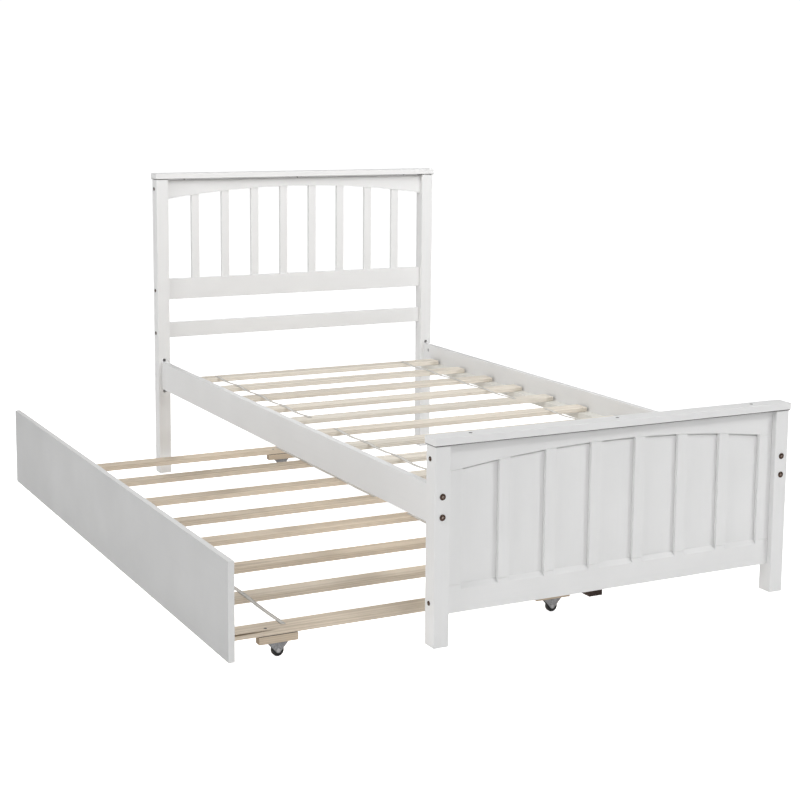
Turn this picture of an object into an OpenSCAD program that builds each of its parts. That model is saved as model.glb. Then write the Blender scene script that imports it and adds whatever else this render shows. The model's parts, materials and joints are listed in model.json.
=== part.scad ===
// Trundle bed: slatted single bed with a wheeled slatted trundle pulled out at its left side.
// X runs across the bed, Y towards the headboard, Z up. The origin is on the floor, at the
// centre of the bed frame's four feet.

/* [Bed frame] */
// Width over the posts
bed_w = 1060; // [1020:10:1200]
// Length over the posts
bed_l = 2020; // [2010:10:2100]
// Height over the headboard cap
head_h = 1035; // [980:5:1200]
// Height over the footboard cap
foot_h = 512; // [490:2:600]
// Width of each post and leg across the bed
post_x = 42; // [38:1:50]
// Depth of each post and leg along the bed
post_y = 45; // [42:1:50]

/* [Caps] */
// Thickness of the cap on each end
cap_t = 20; // [14:1:26]
// Overhang of the caps round the posts
cap_over = 3; // [1:0.5:6]
// Gap between a cap and the arched rail under it
cap_gap = 3; // [1:0.5:5]

/* [Headboard and footboard] */
// Thickness of the rails between the posts
infill_t = 18; // [16:1:22]
// Set-back of the rails' front face from the posts' front face
infill_set = 15.5; // [8:0.5:18]
// Height under the cap of an arched rail at its ends
arch_end_h = 68; // [60:1:80]
// Rise of the arch from its ends to its middle
arch_rise = 36; // [20:1:40]
// Underside of the headboard's mid rail
mid_rail_z = 603; // [580:1:640]
// Height of the headboard's mid rail
mid_rail_h = 71; // [50:1:80]
// Underside of the headboard's lower rail
lower_rail_z = 471; // [440:1:480]
// Height of the headboard's lower rail
lower_rail_h = 52; // [40:1:60]
// Width of a headboard spindle
spindle_w = 28; // [20:1:36]
// Depth of a headboard spindle
spindle_d = 12; // [10:1:14]
// Spacing of the headboard spindles
spindle_pitch = 110; // [100:1:114]
// Underside of the footboard's bottom rail
bottom_rail_z = 76; // [70:1:90]
// Height of the footboard's bottom rail
bottom_rail_h = 70; // [50:1:80]
// Width of the battens that divide the footboard panel
batten_w = 30; // [20:1:40]
// Spacing of the battens
batten_pitch = 132; // [120:1:134]
// Width of the two edge battens against the legs
edge_batten_w = 41; // [20:1:44]
// Thickness of the footboard panel behind the battens
panel_t = 8; // [6:1:9]

/* [Side rails and slats] */
// Thickness of a side rail
rail_t = 20; // [18:1:24]
// Height of a side rail
rail_h = 94; // [90:1:110]
// Underside of the side rails
rail_z = 296; // [290:1:310]
// Width of the cleats that carry the slats
cleat_w = 38; // [25:1:45]
// Height of the cleats
cleat_h = 22; // [18:1:26]
// Height of the cleats above the underside of the side rails
cleat_up = 13; // [6:1:16]
// Width of a bed slat
slat_w = 55; // [45:1:70]
// Thickness of a bed slat
slat_t = 14; // [12:1:18]
// Spacing of the bed slats
slat_pitch = 192; // [180:1:193]
// Shift of the whole row of bed slats towards the footboard
slat_shift = 6; // [0:1:12]

/* [Webbing] */
// Width of the webbing straps
strap_w = 12; // [8:1:20]
// Thickness of the webbing straps
strap_t = 1; // [0.6:0.1:1.5]
// Distance of the bed's two straps from its centre line
strap_x = 358; // [300:1:400]

/* [Trundle] */
// Distance that the trundle stands pulled out of the bed
pull_out = 500; // [0:10:560]
// Length of the front panel
front_l = 1915; // [1880:1:1918]
// Thickness of the front panel
front_t = 16; // [14:1:20]
// Underside of the front panel
front_z = 27; // [20:1:30]
// Height of the front panel
front_h = 239; // [200:1:250]
// Underside of the trundle slats
deck_z = 55; // [54:1:60]
// Thickness of a trundle slat
deck_t = 16; // [14:1:18]
// Middle of the slat nearest the footboard
deck_y = -870; // [-880:1:-860]
// Spacing of the trundle slats
deck_pitch = 250; // [240:1:252]
// Distance of the first strap from the front face
front_strap_in = 170; // [160:1:240]
// Distance of the second strap from the inner end
inner_strap_in = 156; // [100:1:240]

/* [Casters] */
// Diameter of a caster wheel
wheel_d = 30; // [26:1:30]
// Width of a caster wheel
wheel_w = 12; // [10:1:14]
// Diameter of the axles
axle_d = 6; // [5:0.5:6]
// Distance of the casters from the trundle's middle, across the bed
caster_x = 380; // [320:1:400]
// Length of the wooden block that carries a caster
block_l = 100; // [80:1:120]
// Height of the wooden block
block_h = 20; // [20:1:21]

/* [Hidden] */
$fn = 64;
SPINDLES = 8;
BED_SLATS = 10;
DECK_SLATS = 8;
CASTERS = 4;

half_w = bed_w / 2;
half_l = bed_l / 2;
inner_w = bed_w - 2 * post_x;          // clear width between the posts
post_in = half_l - post_y;             // inner faces of the posts along the bed

// Ends: front faces of the rails between the posts, and their middle planes
head_y = post_in + infill_set;
foot_y = -half_l + infill_set;
head_mid_y = head_y + infill_t / 2;
foot_mid_y = foot_y + infill_t / 2;
head_arch_z = head_h - cap_t - arch_end_h;   // lower edge of the arch at the posts
foot_arch_z = foot_h - cap_t - arch_end_h;
arch_h = arch_end_h - cap_gap;
arch_r = inner_w * inner_w / (8 * arch_rise) + arch_rise / 2;
rebate = 10;                           // lap of the footboard panel behind its rails
tenon = 10;                            // depth that the spindles are let into the rails
spindle_set = 3;                       // set-back of the spindles from the rails' front

// Side rails and their fittings
rail_x = half_w - post_x / 2;          // middle plane of a side rail
rail_in = rail_x - rail_t / 2;         // its inner face
slat_l = 2 * rail_in - 18;
cleat_z = rail_z + cleat_up;
slat_z = cleat_z + cleat_h;
cleat_l = 1824;
nut_in = 38.5;                         // barrel nuts, from the ends of the side rails
nut_d = 12;
nut_l = 15.5;
rail_bolt_d = 8;
rail_bolt_l = post_y + 55;
rail_bolt_z = [rail_z + 24, rail_z + 74];
frame_bolt_d = 6;
frame_bolt_l = post_x + 40;
head_bolt_z = [head_arch_z + 35, mid_rail_z + 32, lower_rail_z + 17];
foot_bolt_z = [foot_arch_z + 35, bottom_rail_z + 31];
spare_hole_d = 12;
spare_hole_z = [rail_z - 7, rail_z + rail_h + 6];

// Screws: countersunk, and pan headed for the casters
screw_d = 4;
screw_head_d = 8;
screw_head_h = 3;
cap_screw_x = [-422, 0, 422];
cap_screw_l = 40;
cleat_screw_y = [-800, -400, 0, 400, 800];
cleat_screw_l = cleat_w + 12;
ledger_screw_y = [-750, -450, -150, 150, 450, 750];
ledger_screw_l = 30;
deck_screw_bite = 10;                  // depth of these screws in a trundle slat
block_screw_l = 30;

// Trundle: the frame lies from the posts' outer faces on one side to those on the other
deck_x0 = -pull_out - half_w;          // outer face of the front panel
deck_x1 = -pull_out + half_w;          // inner ends of the slats
deck_top = deck_z + deck_t;
deck_drift = [0, -3, -14, 2, -16, -10, 13, -2];   // slats are set by eye along the trundle
ledger_t = 20;
ledger_h = 22;
ledger_in = 58;                        // its ends stop short of the front panel's
inner_rail_w = 40;
inner_rail_h = 30;
deck_strap_x = [deck_x0 + front_strap_in, deck_x1 - inner_strap_in];

// Casters
axle_z = wheel_d / 2;
plate_t = 1.5;                         // sheet metal of the brackets
plate_z = deck_z - block_h - plate_t;  // underside of a bracket's plate
plate_l = 50;
cheek_in = wheel_w / 2 + 0.8;          // inner faces of the cheeks from the wheel's middle
cheek_out = cheek_in + plate_t;
cheek_r = 6.5;                         // round of the cheeks about the axle
bore_gap = 0.05;                       // running clearance of a wheel on its axle
block_w = 22;                          // the wheel runs under the block's middle

function slat_y(i) = (i - (BED_SLATS + 1) / 2) * slat_pitch - slat_shift;
function deck_slat_y(i) = deck_y + (i - 1) * deck_pitch + deck_drift[i - 1];
function spindle_x(i) = (i - (SPINDLES + 1) / 2) * spindle_pitch;
// Height of the arch at x above its ends
function arch_at(x) = sqrt(arch_r * arch_r - x * x) + arch_rise - arch_r;

// Casters 1 and 2 stand at the footboard end, 3 and 4 at the headboard end
function caster_side(i) = i % 2 == 1 ? -1 : 1;
function caster_slat_y(i) = deck_slat_y(i <= 2 ? 1 : DECK_SLATS);
function caster_mid_x(i) = -pull_out + caster_side(i) * caster_x;
function caster_mid_y(i) = caster_slat_y(i) - slat_w / 2 + block_w / 2;

// ---------- Shared shapes ----------

// Box from its lowest corner to its highest corner
module box(low, high) {
    translate(low)
        cube(high - low);
}

// Upright board across the bed, from an outline in X and Z
module upright_board(y_front, thickness) {
    translate([0, y_front + thickness, 0])
        rotate([90, 0, 0])
            linear_extrude(height = thickness)
                children();
}

// Disc whose top is the arch, drawn with its ends at height zero
module arch_disc(grow = 0) {
    translate([0, arch_rise - arch_r])
        circle(r = arch_r + grow, $fn = 720);
}

// Outline of an arched rail, with its ends' lower edge at height zero
module arch_outline() {
    difference() {
        translate([-inner_w / 2, 0])
            square([inner_w, arch_h]);
        arch_disc();
    }
}

// Bolt with a round socket head, pointing up from the face that its head sits on
module bolt(shank_d, length) {
    difference() {
        union() {
            cylinder(d = shank_d, h = length);
            translate([0, 0, -2.5])
                cylinder(d = 2 * shank_d, h = 2.5);
        }
        translate([0, 0, -3])
            cylinder(d = 0.8 * shank_d, h = 2.5, $fn = 6);
    }
}

// Countersunk screw, pointing down from the face that its head is level with
module screw(length) {
    rotate_extrude($fn = 32)
        polygon([[0, 0], [screw_head_d / 2, 0], [screw_d / 2, -screw_head_h],
                 [screw_d / 2, -length], [0, -length]]);
}

// Pan headed screw for a caster plate, pointing up from the plate's underside
module plate_screw() {
    translate([0, 0, -2])
        cylinder(d = 7, h = 2, $fn = 32);
    plate_screw_shank();
}

module plate_screw_shank() {
    cylinder(d = screw_d, h = 14, $fn = 32);
}

// ---------- Places of the fastenings ----------

module at_rail_bolts() {
    for (sx = [-1, 1])
        for (sy = [-1, 1])
            for (z = rail_bolt_z)
                translate([sx * rail_x, sy * half_l, z])
                    rotate([sy * 90, 0, 0])
                        children();
}

module at_barrel_nuts() {
    for (sx = [-1, 1])
        for (sy = [-1, 1])
            for (z = rail_bolt_z)
                translate([sx * rail_in, sy * (post_in - nut_in), z])
                    rotate([0, sx * 90, 0])
                        children();
}

module at_frame_bolts() {
    for (sx = [-1, 1]) {
        for (z = head_bolt_z)
            translate([sx * half_w, head_mid_y, z])
                rotate([0, -sx * 90, 0])
                    children();
        for (z = foot_bolt_z)
            translate([sx * half_w, foot_mid_y, z])
                rotate([0, -sx * 90, 0])
                    children();
    }
}

module at_cap_screws() {
    for (x = cap_screw_x) {
        translate([x, head_mid_y, head_h])
            children();
        translate([x, foot_mid_y, foot_h])
            children();
    }
}

module at_cleat_screws() {
    for (sx = [-1, 1])
        for (y = cleat_screw_y)
            translate([sx * (rail_in - cleat_w), y, cleat_z + cleat_h / 2])
                rotate([0, -sx * 90, 0])
                    children();
}

// From the ledger's inner face into the front panel
module at_ledger_screws() {
    for (y = ledger_screw_y)
        translate([deck_x0 + front_t + ledger_t, y, deck_z - ledger_h / 2])
            rotate([0, 90, 0])
                children();
}

// Screws from below, through the ledger and the inner rail, into both ends of each trundle slat
module deck_screws() {
    for (i = [1:DECK_SLATS]) {
        translate([deck_x0 + front_t + ledger_t / 2, deck_slat_y(i), deck_z - ledger_h])
            rotate([180, 0, 0])
                screw(ledger_h + deck_screw_bite);
        translate([deck_x1 - inner_rail_w / 2, deck_slat_y(i), deck_z - inner_rail_h])
            rotate([180, 0, 0])
                screw(inner_rail_h + deck_screw_bite);
    }
}

// From above through the end slats into the caster blocks
module at_block_screws() {
    for (i = [1:CASTERS])
        translate([caster_mid_x(i) - 30, caster_mid_y(i), deck_top])
            children();
}

// Along each caster's axle, from the middle of its wheel
module at_axles() {
    for (i = [1:CASTERS])
        translate([caster_mid_x(i), caster_mid_y(i), axle_z])
            rotate([90, 0, 0])
                children();
}

module at_plate_screws() {
    for (i = [1:CASTERS])
        for (sx = [-1, 1])
            translate([caster_mid_x(i) + sx * 19.5, caster_mid_y(i), plate_z])
                children();
}

module rail_bolt_holes() {
    at_rail_bolts()
        cylinder(d = rail_bolt_d, h = rail_bolt_l);
}

module frame_bolt_holes() {
    at_frame_bolts()
        cylinder(d = frame_bolt_d, h = frame_bolt_l);
}

// ---------- Headboard ----------

module headboard_post(sx) {
    color("white")
        difference() {
            box([sx * rail_x - post_x / 2, post_in, 0], [sx * rail_x + post_x / 2, half_l, head_h - cap_t]);
            rail_bolt_holes();
            frame_bolt_holes();
            for (z = spare_hole_z)
                translate([sx * rail_x, post_in - 1, z])
                    rotate([-90, 0, 0])
                        cylinder(d = spare_hole_d, h = 15);
        }
}

// Cap over one end, whose posts' faces are at y_low and y_high
module end_cap(y_low, y_high, top) {
    color("white")
        difference() {
            box([-half_w - cap_over, y_low - cap_over, top - cap_t],
                [half_w + cap_over, y_high + cap_over, top]);
            at_cap_screws()
                screw(cap_screw_l);
        }
}

module spindle_solid(i) {
    x = spindle_x(i);
    top = head_arch_z + arch_at(abs(x) + spindle_w / 2) + tenon;
    y = head_y + spindle_set;
    box([x - spindle_w / 2, y, mid_rail_z + mid_rail_h - tenon], [x + spindle_w / 2, y + spindle_d, top]);
}

module headboard_spindle(i) {
    color("white")
        spindle_solid(i);
}

module headboard_arched_rail() {
    color("white")
        difference() {
            translate([0, 0, head_arch_z])
                upright_board(head_y, infill_t)
                    arch_outline();
            for (i = [1:SPINDLES])
                spindle_solid(i);
            frame_bolt_holes();
            at_cap_screws()
                screw(cap_screw_l);
        }
}

module headboard_mid_rail() {
    color("white")
        difference() {
            box([-inner_w / 2, head_y, mid_rail_z],
                [inner_w / 2, head_y + infill_t, mid_rail_z + mid_rail_h]);
            for (i = [1:SPINDLES])
                spindle_solid(i);
            frame_bolt_holes();
        }
}

module headboard_lower_rail() {
    color("white")
        difference() {
            box([-inner_w / 2, head_y, lower_rail_z],
                [inner_w / 2, head_y + infill_t, lower_rail_z + lower_rail_h]);
            frame_bolt_holes();
        }
}

// ---------- Footboard ----------

module footboard_leg(sx) {
    color("white")
        difference() {
            box([sx * rail_x - post_x / 2, -half_l, 0], [sx * rail_x + post_x / 2, -post_in, foot_h - cap_t]);
            rail_bolt_holes();
            frame_bolt_holes();
        }
}

// Panel, lapped behind the bottom rail and behind the arched rail
module footboard_panel_solid() {
    upright_board(foot_y + infill_t - panel_t, panel_t)
        intersection() {
            translate([-inner_w / 2, bottom_rail_z + bottom_rail_h - rebate])
                square([inner_w, foot_h]);
            translate([0, foot_arch_z])
                arch_disc(rebate);
        }
}

module footboard_panel() {
    color("white")
        footboard_panel_solid();
}

module footboard_arched_rail() {
    color("white")
        difference() {
            translate([0, 0, foot_arch_z])
                upright_board(foot_y, infill_t)
                    arch_outline();
            footboard_panel_solid();
            frame_bolt_holes();
            at_cap_screws()
                screw(cap_screw_l);
        }
}

module footboard_bottom_rail() {
    color("white")
        difference() {
            box([-inner_w / 2, foot_y, bottom_rail_z],
                [inner_w / 2, foot_y + infill_t, bottom_rail_z + bottom_rail_h]);
            footboard_panel_solid();
            frame_bolt_holes();
        }
}

// Battens on the panel's face, level with the rails, their tops cut to the arch
module footboard_battens() {
    edge_x = (inner_w - edge_batten_w) / 2;
    color("white")
        upright_board(foot_y, infill_t - panel_t)
            intersection() {
                union() {
                    for (i = [-2.5:1:2.5])
                        translate([i * batten_pitch - batten_w / 2, bottom_rail_z + bottom_rail_h])
                            square([batten_w, foot_h]);
                    for (sx = [-1, 1])
                        translate([sx * edge_x - edge_batten_w / 2, bottom_rail_z + bottom_rail_h])
                            square([edge_batten_w, foot_h]);
                }
                translate([0, foot_arch_z])
                    arch_disc();
            }
}

// ---------- Side rails, slats and webbing ----------

module side_rail(sx) {
    color("white")
        difference() {
            box([sx * rail_x - rail_t / 2, -post_in, rail_z], [sx * rail_x + rail_t / 2, post_in, rail_z + rail_h]);
            rail_bolt_holes();
            at_barrel_nuts()
                translate([0, 0, -1])
                    cylinder(d = nut_d, h = nut_l + 1.5);
            at_cleat_screws()
                screw(cleat_screw_l);
        }
}

module slat_cleat(sx) {
    x = sx * (rail_in - cleat_w / 2);
    color("white")
        difference() {
            box([x - cleat_w / 2, -cleat_l / 2, cleat_z], [x + cleat_w / 2, cleat_l / 2, slat_z]);
            at_cleat_screws()
                screw(cleat_screw_l);
        }
}

module bed_slat(i) {
    color("burlywood")
        box([-slat_l / 2, slat_y(i) - slat_w / 2, slat_z], [slat_l / 2, slat_y(i) + slat_w / 2, slat_z + slat_t]);
}

// Strap laid over slats from y_low to y_high
module strap(x, y_low, y_high, z) {
    box([x - strap_w / 2, y_low, z], [x + strap_w / 2, y_high, z + strap_t]);
}

// Two straps over each half of the slats
module bed_webbing() {
    last = BED_SLATS / 2;
    color("silver")
        for (sx = [-1, 1])
            for (first = [1, last + 1])
                strap(sx * strap_x, slat_y(first) - slat_w / 2,
                      slat_y(first + last - 1) + slat_w / 2, slat_z + slat_t);
}

// ---------- Bed fastenings ----------

module rail_bolts() {
    color("dimgray")
        at_rail_bolts()
            bolt(rail_bolt_d, rail_bolt_l);
}

module frame_bolts() {
    color("dimgray")
        at_frame_bolts()
            bolt(frame_bolt_d, frame_bolt_l);
}

module barrel_nuts() {
    color("silver")
        difference() {
            at_barrel_nuts()
                translate([0, 0, 0.5])
                    cylinder(d = nut_d, h = nut_l - 0.5);
            rail_bolt_holes();
        }
}

module bed_screws() {
    color("silver") {
        at_cap_screws()
            screw(cap_screw_l);
        at_cleat_screws()
            screw(cleat_screw_l);
    }
}

// ---------- Trundle ----------

module trundle_front_panel() {
    color("white")
        difference() {
            box([deck_x0, -front_l / 2, front_z], [deck_x0 + front_t, front_l / 2, front_z + front_h]);
            at_ledger_screws()
                screw(ledger_screw_l);
        }
}

module trundle_front_ledger() {
    x = deck_x0 + front_t;
    color("burlywood")
        difference() {
            box([x, -front_l / 2 + ledger_in, deck_z - ledger_h],
                [x + ledger_t, front_l / 2 - ledger_in, deck_z]);
            at_ledger_screws()
                screw(ledger_screw_l);
            deck_screws();
        }
}

module trundle_inner_rail() {
    y_low = deck_slat_y(1) - slat_w / 2;
    y_high = deck_slat_y(DECK_SLATS) + slat_w / 2;
    color("burlywood")
        difference() {
            box([deck_x1 - inner_rail_w, y_low, deck_z - inner_rail_h], [deck_x1, y_high, deck_z]);
            deck_screws();
        }
}

module trundle_slat(i) {
    y = deck_slat_y(i);
    color("burlywood")
        difference() {
            box([deck_x0 + front_t, y - slat_w / 2, deck_z], [deck_x1, y + slat_w / 2, deck_top]);
            deck_screws();
            at_block_screws()
                screw(block_screw_l);
        }
}

// Two straps over each half of the slats
module trundle_webbing() {
    last = DECK_SLATS / 2;
    color("silver")
        for (x = deck_strap_x)
            for (first = [1, last + 1])
                strap(x, deck_slat_y(first) - slat_w / 2,
                      deck_slat_y(first + last - 1) + slat_w / 2, deck_top);
}

module trundle_screws() {
    color("silver") {
        at_ledger_screws()
            screw(ledger_screw_l);
        deck_screws();
        at_block_screws()
            screw(block_screw_l);
        at_plate_screws()
            plate_screw();
    }
}

// ---------- Casters ----------

module caster_blocks() {
    color("burlywood")
        difference() {
            for (i = [1:CASTERS])
                box([caster_mid_x(i) - block_l / 2, caster_mid_y(i) - block_w / 2, deck_z - block_h],
                    [caster_mid_x(i) + block_l / 2, caster_mid_y(i) + block_w / 2, deck_z]);
            at_block_screws()
                screw(block_screw_l);
            at_plate_screws()
                plate_screw_shank();
        }
}

// Side of a bracket: straight edges from the plate's ends into the round about the axle
module cheek_outline() {
    rise = plate_z + plate_t - axle_z;
    reach = sqrt(plate_l * plate_l / 4 + rise * rise);
    r = 0.94 * cheek_r;
    turn = atan2(rise, plate_l / 2) - acos(r / reach);
    touch = [r * cos(turn), r * sin(turn)];
    circle(r = cheek_r);
    polygon([[-plate_l / 2, rise], [plate_l / 2, rise], touch, [-touch[0], touch[1]]]);
}

module caster_brackets() {
    color("gray")
        difference() {
            for (i = [1:CASTERS])
                translate([caster_mid_x(i), caster_mid_y(i), 0]) {
                    box([-plate_l / 2, -cheek_in, plate_z], [plate_l / 2, cheek_in, plate_z + plate_t]);
                    for (y = [-cheek_out, cheek_in])
                        translate([0, 0, axle_z])
                            upright_board(y, plate_t)
                                cheek_outline();
                }
            at_axles()
                cylinder(d = axle_d, h = 2 * cheek_out + 2, center = true);
            at_plate_screws()
                translate([0, 0, -1])
                    plate_screw_shank();
        }
}

// Axle with a rivet head outside each cheek
module caster_axles() {
    color("silver")
        at_axles() {
            cylinder(d = axle_d, h = 2 * cheek_out, center = true);
            for (sz = [-1, 1])
                translate([0, 0, sz * (cheek_out + 0.5)])
                    cylinder(d = axle_d + 3, h = 1, center = true);
        }
}

module caster_wheel(i) {
    color("black")
        translate([caster_mid_x(i), caster_mid_y(i), axle_z])
            rotate([90, 0, 0])
                difference() {
                    cylinder(d = wheel_d, h = wheel_w, center = true);
                    cylinder(d = axle_d + 2 * bore_gap, h = wheel_w + 2, center = true);
                }
}

// ---------- Nodes ----------

headboard_post(-1);  // headboard_left_post
headboard_post(1);  // headboard_right_post
end_cap(post_in, half_l, head_h);  // headboard_cap
headboard_arched_rail();
headboard_mid_rail();
headboard_lower_rail();
for (i = [1:SPINDLES])
    headboard_spindle(i);
footboard_leg(-1);  // footboard_left_leg
footboard_leg(1);  // footboard_right_leg
end_cap(-half_l, -post_in, foot_h);  // footboard_cap
footboard_arched_rail();
footboard_bottom_rail();
footboard_panel();
footboard_battens();
side_rail(-1);  // left_side_rail
side_rail(1);  // right_side_rail
slat_cleat(-1);  // left_slat_cleat
slat_cleat(1);  // right_slat_cleat
for (i = [1:BED_SLATS])
    bed_slat(i);
bed_webbing();
rail_bolts();
frame_bolts();
barrel_nuts();
bed_screws();
trundle_front_panel();
trundle_front_ledger();
trundle_inner_rail();
for (i = [1:DECK_SLATS])
    trundle_slat(i);
trundle_webbing();
trundle_screws();
caster_blocks();
caster_brackets();
caster_axles();
for (i = [1:CASTERS])
    caster_wheel(i);
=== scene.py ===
"""Looks of the trundle bed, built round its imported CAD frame.

Metres, Z up, Y towards the headboard. The trundle stands pulled out towards -X.
Every place comes from the CAD nodes' boxes. The sizes here are of details that the CAD leaves plain,
apart from the arches' rise, the panel's rebate and the pan heads' size, which repeat the CAD's.
"""
import json
import math

import bmesh
import bpy
from mathutils import Matrix, Vector, noise


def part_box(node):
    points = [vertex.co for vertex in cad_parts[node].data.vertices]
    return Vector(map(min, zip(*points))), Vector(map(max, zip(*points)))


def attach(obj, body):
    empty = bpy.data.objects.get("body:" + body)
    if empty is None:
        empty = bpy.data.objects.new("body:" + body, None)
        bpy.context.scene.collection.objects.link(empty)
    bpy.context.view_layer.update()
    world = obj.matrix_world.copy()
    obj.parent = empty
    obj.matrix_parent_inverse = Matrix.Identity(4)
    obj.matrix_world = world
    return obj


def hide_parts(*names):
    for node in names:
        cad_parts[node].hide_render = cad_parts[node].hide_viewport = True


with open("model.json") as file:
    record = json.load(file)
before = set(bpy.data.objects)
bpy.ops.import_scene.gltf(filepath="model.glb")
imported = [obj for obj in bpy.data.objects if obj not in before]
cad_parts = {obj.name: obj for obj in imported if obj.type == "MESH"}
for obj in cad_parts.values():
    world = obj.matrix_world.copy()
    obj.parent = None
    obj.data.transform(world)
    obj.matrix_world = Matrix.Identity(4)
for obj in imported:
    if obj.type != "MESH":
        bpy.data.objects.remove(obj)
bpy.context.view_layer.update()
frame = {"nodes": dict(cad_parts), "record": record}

NODE_BODY = {
    node: body
    for body, nodes in frame["record"]["behaviour"]["bodies"].items()
    for node in nodes
}
X, Y, Z = Vector((1, 0, 0)), Vector((0, 1, 0)), Vector((0, 0, 1))

# Details of the joinery
ARCH_RISE = 0.036  # rise of both arches between the posts
ARCH_STEPS = 48
REBATE = 0.010  # lap of the footboard panel behind its rails
GROOVE_H, GROOVE_DEEP = 0.0056, 0.004  # shadow gap in the panel along the arched rail
LEDGE_IN, LEDGE_DOWN = 0.0098, 0.0120  # slope of the bottom rail at the foot of each recess
JOINT_H, JOINT_IN = 0.0017, 0.0012  # open joint under a cap, its inset core coloured black as painted shadow: its height, and how far in it lies
SPARE_R, SPARE_DEPTH = 0.006, 0.032  # unused insert holes in the headboard posts
SPARE_BELOW, SPARE_ABOVE = 0.007, 0.006  # how far they lie past the side rail's edges
CAP_SINK = 0.0012  # how far the cap screws' heads lie below the cap
CAP_HOLE_R, CAP_HOLE_H = 0.0046, 0.0036  # their holes' cutters, half above the cap
DECK_HOLE_R, DECK_HOLE_H = 0.0042, 0.003  # the same on the trundle's slats
NUT_CLEAR = 0.0003  # room round the barrel nuts

# Rounding of edges, by kind of board
EASE_POST = 0.0025
EASE_CAP = 0.0012
EASE_RAIL = 0.0020
EASE_INFILL = 0.0012
EASE_PANEL = 0.0015
EASE_SLAT = 0.0026
EASE_END = 0.0005
EASE_BLOCK = 0.0008
EASE_ANGLE = 0.5  # radians: edges that turn further are rounded
SHARP_ANGLE = 0.62  # radians: edges that turn further are shaded crisp

# Details of the webbing
STRAP_T = 0.0009  # thickness of a strap
STRAP_LIFT = 0.0001  # height of a strap's underside over the slats
SHADED_SELVEDGE_W = 0.0026  # width of a strap's raised edges, coloured darker as painted shade
STRAP_END = 0.020  # where a strap stops, in from the outer edge of its last slat
STAPLE_W = 0.009

OVER = 0.001  # how far cutters run past a face, and the painted-shadow core of a joint into its board
NEAR = 0.001  # heights closer than this count as level


# ---------- Mesh building ----------

def long_axis(low, high):
    """0, 1 or 2: the axis along which a box is longest."""
    size = high - low
    return max(range(3), key=lambda k: size[k])


def solid_boxes(node):
    """(low, high) of each separate solid in a CAD node, in order of its lowest corner."""
    mesh = frame["nodes"][node].data
    bm = bmesh.new()
    bm.from_mesh(mesh)
    bmesh.ops.remove_doubles(bm, verts=bm.verts[:], dist=1e-6)
    left = set(bm.verts)
    boxes = []
    while left:
        stack = [left.pop()]
        low, high = stack[0].co.copy(), stack[0].co.copy()
        while stack:
            vert = stack.pop()
            low = Vector(map(min, low, vert.co))
            high = Vector(map(max, high, vert.co))
            for edge in vert.link_edges:
                other = edge.other_vert(vert)
                if other in left:
                    left.remove(other)
                    stack.append(other)
        boxes.append((low, high))
    bm.free()
    return sorted(boxes, key=lambda b: tuple(round(v, 4) for v in b[0]))


def ease_edges(bm, width, segments):
    """Rounds every edge that turns by more than EASE_ANGLE."""
    sharp = [e for e in bm.edges if len(e.link_faces) == 2 and e.calc_face_angle(0) > EASE_ANGLE]
    if width > 0 and sharp:
        bmesh.ops.bevel(bm, geom=sharp, offset=width, offset_type="OFFSET", segments=segments,
                        profile=0.5, affect="EDGES", clamp_overlap=True)
    return bm


def box_mesh(low, high, ease=0.0, segments=3):
    """Box with rounded edges."""
    bm = bmesh.new()
    bmesh.ops.create_cube(bm, size=1)
    size, middle = high - low, (high + low) / 2
    for vert in bm.verts:
        vert.co = Vector(vert.co[k] * size[k] + middle[k] for k in range(3))
    return ease_edges(bm, ease, segments)


def prism_mesh(outline, axis, start, end, ease=0.0, segments=3):
    """Outline of (u, v) points extruded along an axis: u, v are (y, z), (x, z) or (x, y)."""
    def place(u, v, w):
        return (Vector((w, u, v)), Vector((u, w, v)), Vector((u, v, w)))[axis]

    bm = bmesh.new()
    first = [bm.verts.new(place(u, v, start)) for u, v in outline]
    last = [bm.verts.new(place(u, v, end)) for u, v in outline]
    bm.faces.new(first)
    bm.faces.new(last[::-1])
    count = len(outline)
    for i in range(count):
        j = (i + 1) % count
        bm.faces.new((first[i], last[i], last[j], first[j]))
    bmesh.ops.recalc_face_normals(bm, faces=bm.faces[:])
    return ease_edges(bm, ease, segments)


def turned_mesh(profile, steps):
    """Solid of revolution about Z, from a closed profile of (radius, height) points."""
    bm = bmesh.new()
    rings = []
    for k in range(steps):
        turn = 2 * math.pi * k / steps
        ring = []
        for r, z in profile:
            ring.append(bm.verts.new((r * math.cos(turn), r * math.sin(turn), z)))
        rings.append(ring)
    count = len(profile)
    for k in range(steps):
        a, b = rings[k], rings[(k + 1) % steps]
        for i in range(count):
            j = (i + 1) % count
            bm.faces.new((a[i], b[i], b[j], a[j]))
    bmesh.ops.remove_doubles(bm, verts=bm.verts[:], dist=1e-7)
    bmesh.ops.dissolve_degenerate(bm, edges=bm.edges[:], dist=1e-7)
    bmesh.ops.recalc_face_normals(bm, faces=bm.faces[:])
    return bm


def rod_mesh(middle, axis, length, radius, steps=32):
    """Plain rod along axis 0, 1 or 2, for cutting holes."""
    bm = bmesh.new()
    bmesh.ops.create_cone(bm, cap_ends=True, segments=steps, radius1=radius, radius2=radius, depth=length)
    turn = (Matrix.Rotation(math.pi / 2, 4, "Y"), Matrix.Rotation(math.pi / 2, 4, "X"), Matrix())[axis]
    bm.transform(Matrix.Translation(middle) @ turn)
    return bm


def scratch_object(bm):
    mesh = bpy.data.meshes.new("scratch")
    bm.to_mesh(mesh)
    bm.free()
    obj = bpy.data.objects.new("scratch", mesh)
    bpy.context.scene.collection.objects.link(obj)
    return obj


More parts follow.
